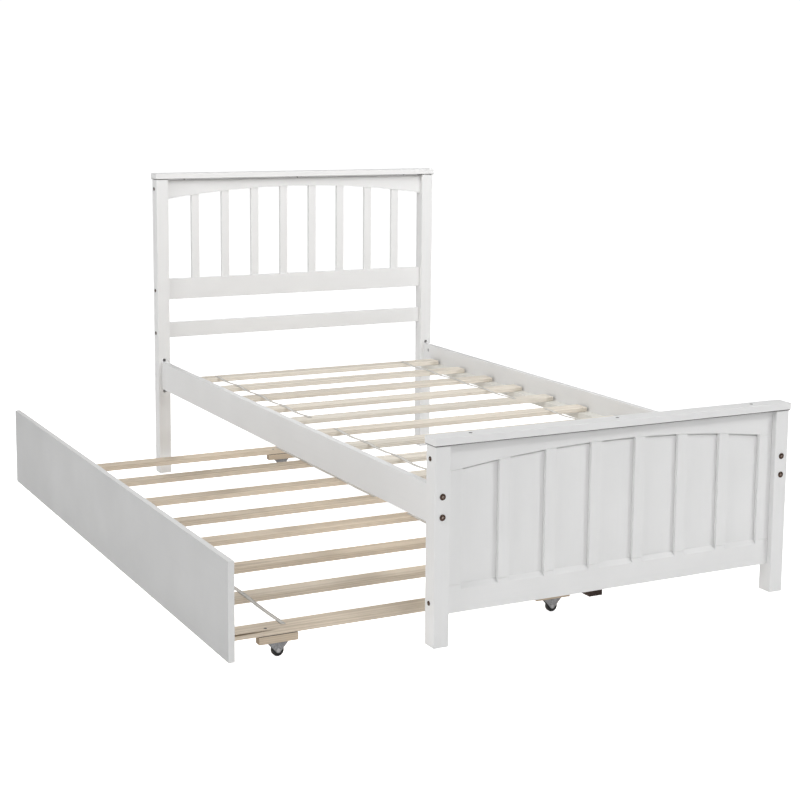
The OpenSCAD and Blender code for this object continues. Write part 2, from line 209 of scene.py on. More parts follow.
def combine(bm, tools, operation="DIFFERENCE"):
    """bm with each tool cut away from it, or kept only inside each tool."""
    target = scratch_object(bm)
    made = [scratch_object(tool) for tool in tools]
    for obj in made:
        cut = target.modifiers.new("cut", "BOOLEAN")
        cut.object = obj
        cut.operation = operation
        cut.solver = "EXACT"
    graph = bpy.context.evaluated_depsgraph_get()
    mesh = bpy.data.meshes.new_from_object(target.evaluated_get(graph))
    out = bmesh.new()
    out.from_mesh(mesh)
    for obj in [target, *made]:
        data = obj.data
        bpy.data.objects.remove(obj)
        bpy.data.meshes.remove(data)
    bpy.data.meshes.remove(mesh)
    return out


def join(parts):
    """One bmesh holding all the parts, whose own meshes are freed."""
    whole = bmesh.new()
    for part in parts:
        mesh = bpy.data.meshes.new("part")
        part.to_mesh(mesh)
        part.free()
        whole.from_mesh(mesh)
        bpy.data.meshes.remove(mesh)
    return whole


def moved_copy(bm, matrix):
    out = bm.copy()
    out.transform(matrix)
    return out


def add_piece(name, bm, materials, nodes):
    """The finished object for some CAD nodes of one body and one material slot."""
    for face in bm.faces:
        face.smooth = True
    for edge in bm.edges:
        edge.smooth = edge.calc_face_angle(0) < SHARP_ANGLE
    mesh = bpy.data.meshes.new(name)
    bm.to_mesh(mesh)
    bm.free()
    for material in materials:
        mesh.materials.append(material)
    obj = bpy.data.objects.new(name, mesh)
    bpy.context.scene.collection.objects.link(obj)
    normals = obj.modifiers.new("flat_faces", "WEIGHTED_NORMAL")
    normals.keep_sharp = True
    normals.weight = 80
    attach(obj, NODE_BODY[nodes[0]])
    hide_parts(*nodes)
    return obj


# ---------- Shader building ----------

def put(tree, kind, sockets=None, **settings):
    """Adds a node with its settings; its sockets are set to values or linked to outputs."""
    made = tree.nodes.new(kind)
    for key, value in settings.items():
        setattr(made, key, value)
    for key, value in (sockets or {}).items():
        if isinstance(value, bpy.types.NodeSocket):
            tree.links.new(value, made.inputs[key])
        else:
            made.inputs[key].default_value = value
    return made


def new_material(name):
    material = bpy.data.materials.new(name)
    material.use_nodes = True
    tree = material.node_tree
    return material, tree, tree.nodes["Principled BSDF"]


def noise_at(tree, vector, scale, detail=4.0, rough=0.55):
    made = put(tree, "ShaderNodeTexNoise", {"Vector": vector, "Scale": scale, "Detail": detail,
                                            "Roughness": rough})
    return made.outputs["Fac"]


def remap(tree, value, low, high, to_low, to_high):
    made = put(tree, "ShaderNodeMapRange", {"Value": value, "From Min": low, "From Max": high,
                                            "To Min": to_low, "To Max": to_high})
    return made.outputs["Result"]


def blend_colors(tree, factor, first, second, mode="MIX"):
    made = put(tree, "ShaderNodeMix", data_type="RGBA", blend_type=mode)
    for socket, value in ((made.inputs[0], factor), (made.inputs[6], first), (made.inputs[7], second)):
        if isinstance(value, bpy.types.NodeSocket):
            tree.links.new(value, socket)
        else:
            socket.default_value = value
    return made.outputs[2]


def add_bumps(tree, shader, *layers):
    """Stacks bumps on a shader, each a (height, strength, distance)."""
    below = {}
    for height, strength, distance in layers:
        made = put(tree, "ShaderNodeBump", {"Strength": strength, "Distance": distance, "Height": height,
                                            **below})
        below = {"Normal": made.outputs["Normal"]}
    tree.links.new(below["Normal"], shader.inputs["Normal"])


def rgb(r, g, b):
    return (r, g, b, 1.0)


def object_vector(tree, scale=(1, 1, 1), location=(0, 0, 0), rotation=(0, 0, 0)):
    """The object's own coordinates, moved, turned and stretched."""
    coords = put(tree, "ShaderNodeTexCoord")
    made = put(tree, "ShaderNodeMapping", {"Vector": coords.outputs["Object"], "Scale": scale,
                                           "Location": location, "Rotation": rotation})
    return made.outputs["Vector"]


def paint(name, tone, axis, roughness=0.42, painted_shade_tone=None):
    """Satin paint over wood with its grain along an axis; a face tone, when given, darkens the faces across
    X: painted shade.
    """
    material, tree, shader = new_material(name)
    stretch = [140.0, 140.0, 140.0]
    stretch[axis] = 4.0
    grain = noise_at(tree, object_vector(tree, stretch), 1.0, 5.0, 0.6)
    mottle = noise_at(tree, object_vector(tree), 5.0, 3.0)
    fine = noise_at(tree, object_vector(tree), 900.0, 2.0)
    light = rgb(*tone)
    dark = rgb(*(0.955 * c for c in tone))
    base = blend_colors(tree, remap(tree, mottle, 0.35, 0.65, 0.0, 0.6), light, dark)
    base = blend_colors(tree, remap(tree, grain, 0.5, 0.8, 0.0, 0.5), base, dark)
    # Painted shade: faces across X are multiplied by the face tone, darker than the paint's own white.
    if painted_shade_tone:
        normal = put(tree, "ShaderNodeTexCoord").outputs["Normal"]
        across = put(tree, "ShaderNodeSeparateXYZ", {"Vector": normal}).outputs["X"]
        painted_shade_mask = put(tree, "ShaderNodeMath", {0: across}, operation="ABSOLUTE").outputs[0]
        painted_shade_mask = remap(tree, painted_shade_mask, 0.6, 0.95, 0.0, 1.0)
        base = blend_colors(tree, painted_shade_mask, base, rgb(painted_shade_tone, painted_shade_tone, painted_shade_tone), "MULTIPLY")
    tree.links.new(base, shader.inputs["Base Color"])
    tree.links.new(remap(tree, mottle, 0.3, 0.7, roughness - 0.05, roughness + 0.07),
                   shader.inputs["Roughness"])
    add_bumps(tree, shader, (grain, 0.10, 0.0004), (fine, 0.06, 0.0002))
    shader.inputs["Coat Weight"].default_value = 0.12
    shader.inputs["Coat Roughness"].default_value = 0.3
    return material


def pine(name, light, dark, heart, turn, seed):
    """Planed pine with its grain along X: rings about a heart at (y, z), tilted to run out in arches."""
    material, tree, shader = new_material(name)
    y, z = heart
    wander = object_vector(tree, (0.9, 3.0, 3.0), (seed, seed * 0.7, 0.0))
    wobble = noise_at(tree, wander, 2.2, 2.0)
    rings_at = object_vector(tree, (0.10, 1.0, 1.0), (seed, -y, -z), (0.0, turn[0], turn[1]))
    rings = put(tree, "ShaderNodeTexWave", {"Vector": rings_at, "Scale": 62.0, "Distortion": 7.0,
                                            "Detail": 2.0, "Detail Scale": 0.06},
                wave_type="RINGS", rings_direction="X", wave_profile="SAW")
    late = put(tree, "ShaderNodeValToRGB", {"Fac": rings.outputs["Fac"]})
    ramp = late.color_ramp.elements
    ramp[0].position, ramp[0].color = 0.35, rgb(0, 0, 0)
    ramp[1].position, ramp[1].color = 0.93, rgb(1, 1, 1)
    ramp.new(1.0).color = rgb(0.1, 0.1, 0.1)
    fibre = noise_at(tree, object_vector(tree, (6.0, 380.0, 380.0), (seed, 0, 0)), 1.0, 3.0, 0.65)
    mottle = noise_at(tree, object_vector(tree, (1.6, 9.0, 9.0), (0, seed, 0)), 1.0, 3.0)

    base = blend_colors(tree, remap(tree, mottle, 0.3, 0.7, 0.0, 0.45), rgb(*light), rgb(*dark))
    strength = remap(tree, wobble, 0.35, 0.65, 0.25, 0.85)
    line = put(tree, "ShaderNodeMath", {0: late.outputs["Color"], 1: strength}, operation="MULTIPLY")
    base = blend_colors(tree, line.outputs[0], base, rgb(*(0.80 * d for d in dark)))
    streak = remap(tree, fibre, 0.45, 0.75, 0.0, 0.35)
    base = blend_colors(tree, streak, base, rgb(*(0.78 * d for d in dark)))

    # Knots: small brown ovals, far apart
    cells = put(tree, "ShaderNodeTexVoronoi",
                {"Vector": object_vector(tree, (2.6, 9.0, 9.0), (seed * 1.7, seed, 0)), "Scale": 1.0},
                feature="F1")
    knot = remap(tree, cells.outputs["Distance"], 0.035, 0.075, 1.0, 0.0)
    brown = [min(own, share * d) for own, share, d in zip((0.30, 0.19, 0.11), (0.6, 0.5, 0.4), dark)]
    base = blend_colors(tree, knot, base, rgb(*brown))

    # End grain drinks the light
    facing = put(tree, "ShaderNodeSeparateXYZ",
                 {"Vector": put(tree, "ShaderNodeTexCoord").outputs["Normal"]})
    end = put(tree, "ShaderNodeMath", {0: facing.outputs["X"]}, operation="ABSOLUTE")
    base = blend_colors(tree, remap(tree, end.outputs[0], 0.6, 0.9, 0.0, 0.75), base,
                        rgb(*(0.62 * d for d in dark)))
    tree.links.new(base, shader.inputs["Base Color"])
    tree.links.new(remap(tree, fibre, 0.3, 0.7, 0.62, 0.78), shader.inputs["Roughness"])
    add_bumps(tree, shader, (fibre, 0.22, 0.0006), (late.outputs["Color"], 0.12, 0.0005))
    shader.inputs["Specular IOR Level"].default_value = 0.3
    return material


def webbing_material(name, color, pitch):
    """Woven polyester tape: ribs across the strap, crossed by the warp; pitch is the ribs' in metres."""
    material, tree, shader = new_material(name)
    shade = rgb(*(0.75 * c for c in color))
    vector = object_vector(tree)
    across = put(tree, "ShaderNodeTexWave", {"Vector": vector, "Scale": 0.314 / pitch, "Distortion": 0.6,
                                             "Detail": 1.0}, wave_type="BANDS", bands_direction="Y")
    along = put(tree, "ShaderNodeTexWave", {"Vector": vector, "Scale": 0.45 / pitch, "Distortion": 0.4,
                                            "Detail": 1.0}, wave_type="BANDS", bands_direction="X")
    weave = put(tree, "ShaderNodeMath", {0: across.outputs["Fac"], 1: along.outputs["Fac"]},
                operation="MULTIPLY")
    dirt = noise_at(tree, vector, 45.0, 3.0)
    base = blend_colors(tree, remap(tree, weave.outputs[0], 0.0, 0.9, 0.0, 1.0), shade, rgb(*color))
    base = blend_colors(tree, remap(tree, dirt, 0.45, 0.8, 0.0, 0.3), base, shade)
    tree.links.new(base, shader.inputs["Base Color"])
    add_bumps(tree, shader, (weave.outputs[0], 0.5, 0.0004))
    shader.inputs["Roughness"].default_value = 0.82
    shader.inputs["Sheen Weight"].default_value = 0.25
    return material


def metal(name, color, roughness):
    """Plated steel, a little uneven, with fine tooling marks."""
    material, tree, shader = new_material(name)
    cloud = noise_at(tree, object_vector(tree), 260.0, 4.0)
    fine = noise_at(tree, object_vector(tree, (1, 1, 5)), 1300.0, 2.0)
    base = blend_colors(tree, remap(tree, cloud, 0.35, 0.7, 0.0, 1.0), rgb(*color),
                        rgb(*(0.68 * c for c in color)))
    tree.links.new(base, shader.inputs["Base Color"])
    tree.links.new(remap(tree, cloud, 0.3, 0.7, roughness - 0.08, roughness + 0.12),
                   shader.inputs["Roughness"])
    add_bumps(tree, shader, (fine, 0.15, 0.0001))
    shader.inputs["Metallic"].default_value = 1.0
    return material


def moulded_plastic(name, color):
    """Black moulded nylon, scuffed lighter where it rolls."""
    material, tree, shader = new_material(name)
    fine = noise_at(tree, object_vector(tree), 1500.0, 2.0)
    scuff = noise_at(tree, object_vector(tree), 180.0, 5.0, 0.7)
    base = blend_colors(tree, remap(tree, scuff, 0.55, 0.8, 0.0, 0.5), rgb(*color), rgb(0.12, 0.12, 0.12))
    tree.links.new(base, shader.inputs["Base Color"])
    tree.links.new(remap(tree, scuff, 0.3, 0.8, 0.38, 0.7), shader.inputs["Roughness"])
    add_bumps(tree, shader, (fine, 0.12, 0.0001))
    return material


WHITE = (0.86, 0.86, 0.857)
PAINT = [paint("white_paint_" + "xyz"[k], WHITE, k) for k in range(3)]
# The trundle panel's broad faces, across X, get painted shade: a darker tone where less light falls on
# them.
SHADED_PANEL_PAINT = paint("white_paint_front_panel_painted_shade", (0.78, 0.78, 0.776), 1, 0.46, 0.66)
# The cleats are coloured darker and warmer than the white rails, so that their tops under the slats read as
# shaded: painted shade.
SHADED_CLEAT_PAINT = paint("cleat_paint_painted_shade", (0.74, 0.725, 0.675), 1)
# Black standing for the deep shade inside open joints and sunk screw holes: painted shadow.
PAINTED_SHADOW = paint("joint_shadow", (0.09, 0.085, 0.08), 0, 0.8)
BRONZE = metal("bronze_plate", (0.115, 0.078, 0.062), 0.25)
# Lighter bronze for the sockets' floors and walls: a painted highlight.
SOCKET_HIGHLIGHT_BRONZE = metal("bronze_socket_painted_highlight", (0.50, 0.41, 0.36), 0.35)
ZINC = metal("zinc_plate", (0.55, 0.55, 0.56), 0.40)
# Screw heads coloured far darker than zinc, so that the sunk holes round them read dark: painted shade.
SHADE_DARKENED_ZINC = metal("zinc_plate_painted_shade", (0.20, 0.195, 0.19), 0.50)
CASTER_STEEL = metal("caster_steel", (0.34, 0.34, 0.35), 0.45)
NYLON = moulded_plastic("black_nylon", (0.018, 0.018, 0.019))
WEB = webbing_material("webbing_ribs", (0.83, 0.795, 0.735), 0.0016)
# Darker tape for the strap's edges: painted shade along them.
WEB_SHADED_EDGE = webbing_material("webbing_selvedge_painted_shade", (0.64, 0.615, 0.57), 0.0010)


# ---------- Painted boards ----------

def bolt_holes(low, high, nodes=("rail_bolts", "frame_bolts")):
    """Cutters for the bolts whose shanks pass through a board."""
    cutters = []
    for node in nodes:
        for b_low, b_high in solid_boxes(node):
            axis = long_axis(b_low, b_high)
            across = [k for k in range(3) if k != axis]
            middle = (b_low + b_high) / 2
            inside = all(low[k] < middle[k] < high[k] for k in across)
            if inside and b_low[axis] < high[axis] - NEAR and b_high[axis] > low[axis] + NEAR:
                # A shank is half as thick as its head
                shank_r = (b_high[across[0]] - b_low[across[0]]) / 4
                cutters.append(rod_mesh(middle, axis, b_high[axis] - b_low[axis] + OVER, shank_r))
    return cutters


def painted_board(node, ease, cutters=(), coat=None):
    """A straight painted board with rounded edges and its holes."""
    low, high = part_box(node)
    axis = long_axis(low, high)
    bm = box_mesh(low, high, ease)
    if cutters:
        bm = combine(bm, cutters)
    add_piece("painted_" + node, bm, [coat or PAINT[axis]], [node])


def make_posts():
    """Posts and legs, with the headboard posts' two unused insert holes each."""
    rail_low, rail_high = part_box("left_side_rail")
    for side in ("left", "right"):
        for name in (f"headboard_{side}_post", f"footboard_{side}_leg"):
            low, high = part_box(name)
            cutters = bolt_holes(low, high)
            if name.startswith("headboard"):
                for z in (rail_low.z - SPARE_BELOW, rail_high.z + SPARE_ABOVE):
                    middle = Vector(((low.x + high.x) / 2, low.y + SPARE_DEPTH / 2 - OVER / 2, z))
                    cutters.append(rod_mesh(middle, 1, SPARE_DEPTH + OVER, SPARE_R))
            painted_board(name, EASE_POST, cutters)


def arch_height(x, half):
    """Height of the arch at x above its ends."""
    radius = half * half / (2 * ARCH_RISE) + ARCH_RISE / 2
    return math.sqrt(radius * radius - x * x) + ARCH_RISE - radius


def arch_points(start, stop, steps, rail_low, rail_high, lift=0.0):
    """(x, z) points from start to stop along an arched rail's lower edge, raised by lift."""
    points = []
    for k in range(steps + 1):
        x = start + (stop - start) * k / steps
        points.append((x, rail_low.z + lift + arch_height(x, rail_high.x)))
    return points


def arched_outline(low, high):
    """Outline in X and Z of a rail whose lower edge is the arch."""
    return arch_points(low.x, high.x, ARCH_STEPS, low, high) + [(high.x, high.z), (low.x, high.z)]


def in_cap_hole(face, middle):
    """Whether a face lies in the screw hole about a point."""
    off = face.calc_center_median() - middle
    return math.hypot(off.x, off.y) < 1.1 * CAP_HOLE_R


def cap_board(node):
    """Cap with its sunk screw holes, their walls black as painted shadow, and the open joint under it,
    whose inset core is black as painted shadow: a dark line where it overhangs.
    """
    low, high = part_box(node)
    board = Vector((low.x, low.y, low.z + JOINT_H))
    foot_low = Vector((low.x + JOINT_IN, low.y + JOINT_IN, low.z))
    foot_high = Vector((high.x - JOINT_IN, high.y - JOINT_IN, board.z + OVER))
    foot = box_mesh(foot_low, foot_high)
    # The joint's inset core is painted shadow.
    for face in foot.faces:
        face.material_index = 1
    cutters, holes = [], []
    for s_low, s_high in solid_boxes("bed_screws"):
        middle = (s_low + s_high) / 2
        if s_high.z > high.z - NEAR and low.y < middle.y < high.y:
            mouth = Vector((middle.x, middle.y, high.z))
            cutters.append(rod_mesh(mouth, 2, CAP_HOLE_H, CAP_HOLE_R, 28))
            holes.append(middle)
    top = combine(box_mesh(board, high, EASE_CAP), cutters)
    # The sunk holes' walls are painted shadow.
    for face in top.faces:
        below = face.calc_center_median().z < high.z - EASE_CAP / 4
        if below and any(in_cap_hole(face, middle) for middle in holes):
            face.material_index = 1
    add_piece("painted_" + node, join([top, foot]), [PAINT[0], PAINTED_SHADOW], [node])


def make_headboard():
    cap_board("headboard_cap")
    low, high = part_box("headboard_arched_rail")
    bm = prism_mesh(arched_outline(low, high), 1, low.y, high.y, EASE_INFILL)
    add_piece("painted_headboard_arched_rail", bm, [PAINT[0]], ["headboard_arched_rail"])
    for node in ("headboard_mid_rail", "headboard_lower_rail"):
        painted_board(node, EASE_RAIL)
    spindles = [n for n in frame["nodes"] if n.startswith("headboard_spindle_")]
    for node in sorted(spindles):
        painted_board(node, EASE_INFILL)


def panel_outline(low, high, rail_low, rail_high):
    """Footboard panel in X and Z: straight foot, arched top lapped behind the rail."""
    top = arch_points(high.x, low.x, ARCH_STEPS, rail_low, rail_high, REBATE)
    return [(low.x, low.z), (high.x, low.z), *top]


def arch_groove(low, high, rail_low, rail_high):
    """Cutter for the shadow gap in the footboard panel's front, under the arched rail."""
    arch = arch_points(low.x - OVER, high.x + OVER, ARCH_STEPS, rail_low, rail_high)
    band = [(x, z + OVER) for x, z in arch] + [(x, z - GROOVE_H) for x, z in arch[::-1]]
    return prism_mesh(band, 1, low.y - OVER, low.y + GROOVE_DEEP)


def recess_chamfers(low, high):
    """Cutters that slope the ledge at the foot of each recess between the battens."""
    battens = sorted(solid_boxes("footboard_battens"), key=lambda box: box[0].x)
    edges = [low.x, *(x for box in battens for x in (box[0].x, box[1].x)), high.x]
    front, top = low.y, high.z
    slope = LEDGE_DOWN / LEDGE_IN
    outline = [(front - OVER, top - LEDGE_DOWN - OVER * slope), (front - OVER, top + OVER),
               (front + LEDGE_IN + OVER / slope, top + OVER)]
    narrow = 0.01
    gaps = [pair for pair in zip(edges[::2], edges[1::2]) if pair[1] - pair[0] > narrow]
    return [prism_mesh(outline, 0, start, end) for start, end in gaps]


def make_footboard():
    cap_board("footboard_cap")
    rail_low, rail_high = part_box("footboard_arched_rail")
    low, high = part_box("footboard_panel")
    outline = panel_outline(low, high, rail_low, rail_high)

    bm = prism_mesh(arched_outline(rail_low, rail_high), 1, rail_low.y, rail_high.y, EASE_INFILL)
    bm = combine(bm, [prism_mesh(outline, 1, low.y, high.y + 2 * OVER)])
    add_piece("painted_footboard_arched_rail", bm, [PAINT[0]], ["footboard_arched_rail"])

    foot_low, foot_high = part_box("footboard_bottom_rail")
    lap = box_mesh(Vector((foot_low.x - OVER, low.y, low.z)),
                   Vector((foot_high.x + OVER, foot_high.y + 2 * OVER, foot_high.z + 2 * OVER)))
    bm = combine(box_mesh(foot_low, foot_high, EASE_RAIL), [lap, *recess_chamfers(foot_low, foot_high)])
    add_piece("painted_footboard_bottom_rail", bm, [PAINT[0]], ["footboard_bottom_rail"])

    sheet = prism_mesh(outline, 1, low.y, high.y, 0.0003, 1)
    bm = combine(sheet, [arch_groove(low, high, rail_low, rail_high)])
    add_piece("painted_footboard_panel", bm, [PAINT[2]], ["footboard_panel"])

    parts = []
    for b_low, b_high in solid_boxes("footboard_battens"):
        top = arch_points(b_high.x, b_low.x, ARCH_STEPS // 8, rail_low, rail_high)
        shape = [(b_low.x, b_low.z), (b_high.x, b_low.z), *top]
        parts.append(prism_mesh(shape, 1, b_low.y, b_high.y, EASE_INFILL))
    add_piece("painted_footboard_battens", join(parts), [PAINT[2]], ["footboard_battens"])


def make_side_rails():
    """Side rails with the barrel nuts' holes, and the cleats inside them."""
    nuts = solid_boxes("barrel_nuts")
    for side in ("left", "right"):
        low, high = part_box(f"{side}_side_rail")
        cutters = []
        for n_low, n_high in nuts:
            middle = (n_low + n_high) / 2
            if low.x < middle.x < high.x:
                length = n_high.x - n_low.x + 2 * OVER
                outward = X * (OVER if side == "right" else -OVER)
                hole_r = (n_high.y - n_low.y) / 2 + NUT_CLEAR
                cutters.append(rod_mesh(middle - outward, 0, length, hole_r))
        painted_board(f"{side}_side_rail", EASE_RAIL, cutters)
        # The cleats take the darker tone: painted shade.
        painted_board(f"{side}_slat_cleat", EASE_RAIL, coat=SHADED_CLEAT_PAINT)


# ---------- Pine slats ----------

BED_LIGHT, BED_DARK = (0.84, 0.785, 0.695), (0.77, 0.705, 0.61)
DECK_LIGHT, DECK_DARK = (0.78, 0.685, 0.565), (0.68, 0.575, 0.45)
# Nearly black brown for the trundle's inner rail, standing for the shade it lies in under the bed: painted
# shade.
SHADED_RAIL_PALE, SHADED_RAIL_DEEP = (0.090, 0.058, 0.045), (0.055, 0.034, 0.027)


def scatter(seed, low, high):
    """A repeatable value between low and high."""
    value = noise.noise(Vector((seed * 12.98, seed * 4.14, 7.7)))
    return low + (high - low) * (0.5 + 0.5 * max(-1.0, min(1.0, 2.2 * value)))


def slat_pine(name, low, high, light, dark, seed):
    """Pine for one board: its own heart, run-out and tint."""
    middle = (low + high) / 2
    heart = (middle.y + scatter(seed + 0.3, -0.03, 0.03), low.z - scatter(seed + 1.7, 0.03, 0.11))
    turn = (scatter(seed + 2.9, -0.03, 0.03), scatter(seed + 4.1, -0.02, 0.02))
    tint = scatter(seed + 5.3, 0.95, 1.03)
    warm = scatter(seed + 6.1, 0.97, 1.02)
    tinted = [(c[0] * tint, c[1] * tint * (1 + warm) / 2, c[2] * tint * warm) for c in (light, dark)]
    return pine(name, *tinted, heart, turn, seed)


def slat_mesh(low, high, seed, bow=0.0006, fade=0.05):
    """Planed slat with rounded edges and a trace of bow, which fades out towards its ends."""
    bm = box_mesh(low, high)
    long_edges = [e for e in bm.edges if abs((e.verts[0].co - e.verts[1].co).x) > 0.01]
    bmesh.ops.bevel(bm, geom=long_edges, offset=EASE_SLAT, offset_type="OFFSET", segments=4,
                    profile=0.5, affect="EDGES")
    ends = [e for e in bm.edges if e.calc_face_angle(0) > 1.3]
    bmesh.ops.bevel(bm, geom=ends, offset=EASE_END, offset_type="OFFSET", segments=1, profile=0.5,
                    affect="EDGES")
    long_edges = [e for e in bm.edges if abs((e.verts[0].co - e.verts[1].co).x) > 0.5]
    bmesh.ops.subdivide_edges(bm, edges=long_edges, cuts=24)
    for vert in bm.verts:
        at = Vector((vert.co.x * 3.1, seed * 5.0, 0.0))
        share = min(1.0, (vert.co.x - low.x) / fade, (high.x - vert.co.x) / fade)
        vert.co.y += share * bow * noise.noise(at)
        vert.co.z += share * 0.4 * bow * (noise.noise(at + Vector((0, 9, 0))) - 1.0)
    return bm


def slat_nodes(prefix):
    """Names of a deck's slats, from the footboard's end."""
    return sorted((n for n in frame["nodes"] if n.startswith(prefix)), key=lambda n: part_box(n)[0].y)


def make_bed_slats():
    for k, node in enumerate(slat_nodes("bed_slat_")):
        low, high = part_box(node)
        wood = slat_pine("pine_" + node, low, high, BED_LIGHT, BED_DARK, 1.37 * k + 0.5)
        add_piece("planed_" + node, slat_mesh(low, high, k + 0.5), [wood], [node])


def drying_split(low, high):
    """Cutter for a split in a slat's front face, under its top edge, from the trundle panel's end."""
    x, z = low.x - OVER, high.z
    outline = [(x, z - 0.0062), (x + 0.08, z - 0.0052), (x + 0.135, z - 0.0030),
               (x + 0.08, z - 0.0020), (x, z - 0.0016)]
    return prism_mesh(outline, 1, low.y - OVER, low.y + 0.016)


def make_trundle_slats():
    nodes = slat_nodes("trundle_slat_")
    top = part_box(nodes[0])[1].z
    screws = [box for box in solid_boxes("trundle_screws") if box[1].z > top - NEAR / 2]
    for k, node in enumerate(nodes):
        low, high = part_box(node)
        bm = slat_mesh(low, high, k + 20.5)
        cutters = []
        for s_low, s_high in screws:
            middle = (s_low + s_high) / 2
            if low.y < middle.y < high.y:
                mouth = Vector((middle.x, middle.y, high.z))
                cutters.append(rod_mesh(mouth, 2, DECK_HOLE_H, DECK_HOLE_R))
        if k == 0:
            cutters.append(drying_split(low, high))
        if cutters:
            bm = combine(bm, cutters)
        wood = slat_pine("pine_" + node, low, high, DECK_LIGHT, DECK_DARK, 1.93 * k + 31.0)
        add_piece("planed_" + node, bm, [wood], [node])


# ---------- Webbing ----------

def slats_under(low, high, slats):
    """The slats' boxes that a strap's box lies on."""
    reach = 0.01
    return [box for box in slats if box[0].y > low.y - reach and box[1].y < high.y + reach]


def strap_path(low, high, slats, sag):
    """(y, z) points of a strap's underside: flat on each slat, hanging between them."""
    on = slats_under(low, high, slats)
    points = []
    for k, (s_low, s_high) in enumerate(on):
        top = s_high.z + STRAP_LIFT
        start = s_low.y + (STRAP_END if k == 0 else EASE_SLAT * 0.5)
        stop = s_high.y - (STRAP_END if k == len(on) - 1 else EASE_SLAT * 0.5)
        points += [(start + (stop - start) * t / 3, top) for t in range(4)]
        if k < len(on) - 1:
            gap_end = on[k + 1][0].y + EASE_SLAT * 0.5
            hang = sag * (0.85 + 0.3 * scatter(k + low.x * 7 + low.y * 3, 0.0, 1.0))
            for step in range(1, 12):
                t = step / 12
                points.append((stop + (gap_end - stop) * t, top - 4 * hang * t * (1 - t)))
    return points


def strap_mesh(x, width, path):
    """Strap of rounded section along a path in Y and Z, with its raised selvedges in a second, darker
    material: painted shade.
    """
    half = width / 2
    inner = half - SHADED_SELVEDGE_W
    section = [(-half, 0.25), (-half + 0.0004, 0.0), (-inner, 0.0), (inner, 0.0), (half - 0.0004, 0.0),
               (half, 0.25), (half, 0.75), (half - 0.0005, 1.08), (inner + 0.0003, 1.08), (inner, 0.85),
               (0.0, 0.92), (-inner, 0.85), (-inner - 0.0003, 1.08), (-half + 0.0005, 1.08), (-half, 0.75)]
    bm = bmesh.new()
    rings = []
    for k, (y, z) in enumerate(path):
        before, after = path[max(k - 1, 0)], path[min(k + 1, len(path) - 1)]
        along = Vector((0, after[0] - before[0], after[1] - before[1])).normalized()
        up = Vector((0, -along.z, along.y))
        drift = 0.0004 * noise.noise(Vector((y * 9, x * 5, 0)))
        rings.append([bm.verts.new(Vector((x + u + drift, y, z)) + up * (v * STRAP_T)) for u, v in section])
    count = len(section)
    for a, b in zip(rings, rings[1:]):
        for i in range(count):
            j = (i + 1) % count
            face = bm.faces.new((a[i], a[j], b[j], b[i]))
            middle = abs((section[i][0] + section[j][0]) / 2)
            # The edge bands take the darker tape: painted shade.
            face.material_index = 1 if middle > inner else 0
    bm.faces.new(rings[0][::-1])
    bm.faces.new(rings[-1])
    bmesh.ops.recalc_face_normals(bm, faces=bm.faces[:])
    return bm


def staple_mesh(middle):
    """Staple across a strap: its crown stands proud, and the rest is down in the wood."""
    wire, rise, sunk = 0.0011, 0.0006, 0.002
    low = middle + Vector((-STAPLE_W / 2, -wire / 2, -sunk))
    high = middle + Vector((STAPLE_W / 2, wire / 2, rise))
    return box_mesh(low, high, 0.00035, 2)


def make_webbing(node, slat_prefix, sag):
    """Straps with their raised selvedges, darker as painted shade, and a staple on each slat; sag is their
    dip between two slats.
    """
    slats = [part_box(n) for n in slat_nodes(slat_prefix)]
    straps, staples = [], []
    for low, high in solid_boxes(node):
        x = (low.x + high.x) / 2
        path = strap_path(low, high, slats, sag)
        straps.append(strap_mesh(x, high.x - low.x, path))
        for s_low, s_high in slats_under(low, high, slats):
            at = Vector((x, (s_low.y + s_high.y) / 2, s_high.z + STRAP_T))
            staples.append(staple_mesh(at))
    add_piece("woven_" + node, join(straps), [WEB, WEB_SHADED_EDGE], [node])
    pins = add_piece("staples_" + node, join(staples), [ZINC], [node])


# ---------- Metal ----------

def head_profile(shank_r, head_r, head_h, length):
    """Closed profile of a button head, domed round its socket, and its shank up to length."""
    flat = 0.42 * head_r
    arc = [(flat + (head_r - flat) * math.sin(a), -head_h * (0.22 + 0.78 * math.cos(a)))
           for a in (0.0, 0.3, 0.6, 0.9, 1.2, 1.4, math.pi / 2)]
    return [(0.0, -head_h), *arc, (head_r, -0.0001), (head_r - 0.0001, 0.0), (shank_r, 0.0),
            (shank_r, length - 0.0015), (shank_r - 0.0012, length), (0.0, length)]


def hex_cutter(across_flats, depth, bottom):
    """Hexagon socket, from bottom upwards by depth."""
    radius = across_flats / math.sqrt(3)
    outline = [(radius * math.cos(math.radians(60 * k)), radius * math.sin(math.radians(60 * k)))
               for k in range(6)]
    return prism_mesh(outline, 2, bottom, bottom + depth)


def socket_bolt(shank_r, head_r, head_h, length):
    """Bolt along +Z with its head below z = 0, and its socket coloured a lighter bronze: a painted
    highlight.
    """
    bolt = turned_mesh(head_profile(shank_r, head_r, head_h, length), 40)
    socket = hex_cutter(0.7 * head_r, head_h - 0.0002, -head_h - 0.0005)
    bolt = combine(bolt, [socket])
    # The socket's faces take the lighter bronze: painted highlight.
    for face in bolt.faces:
        middle = face.calc_center_median()
        in_socket = math.hypot(middle.x, middle.y) < 0.41 * head_r and middle.z < -0.0003
        if in_socket and middle.z > -head_h + 0.0001:
            face.material_index = 1
    return bolt


def turn_to(direction):
    """Turns +Z to a direction."""
    return direction.to_track_quat("Z", "Y").to_matrix().to_4x4()


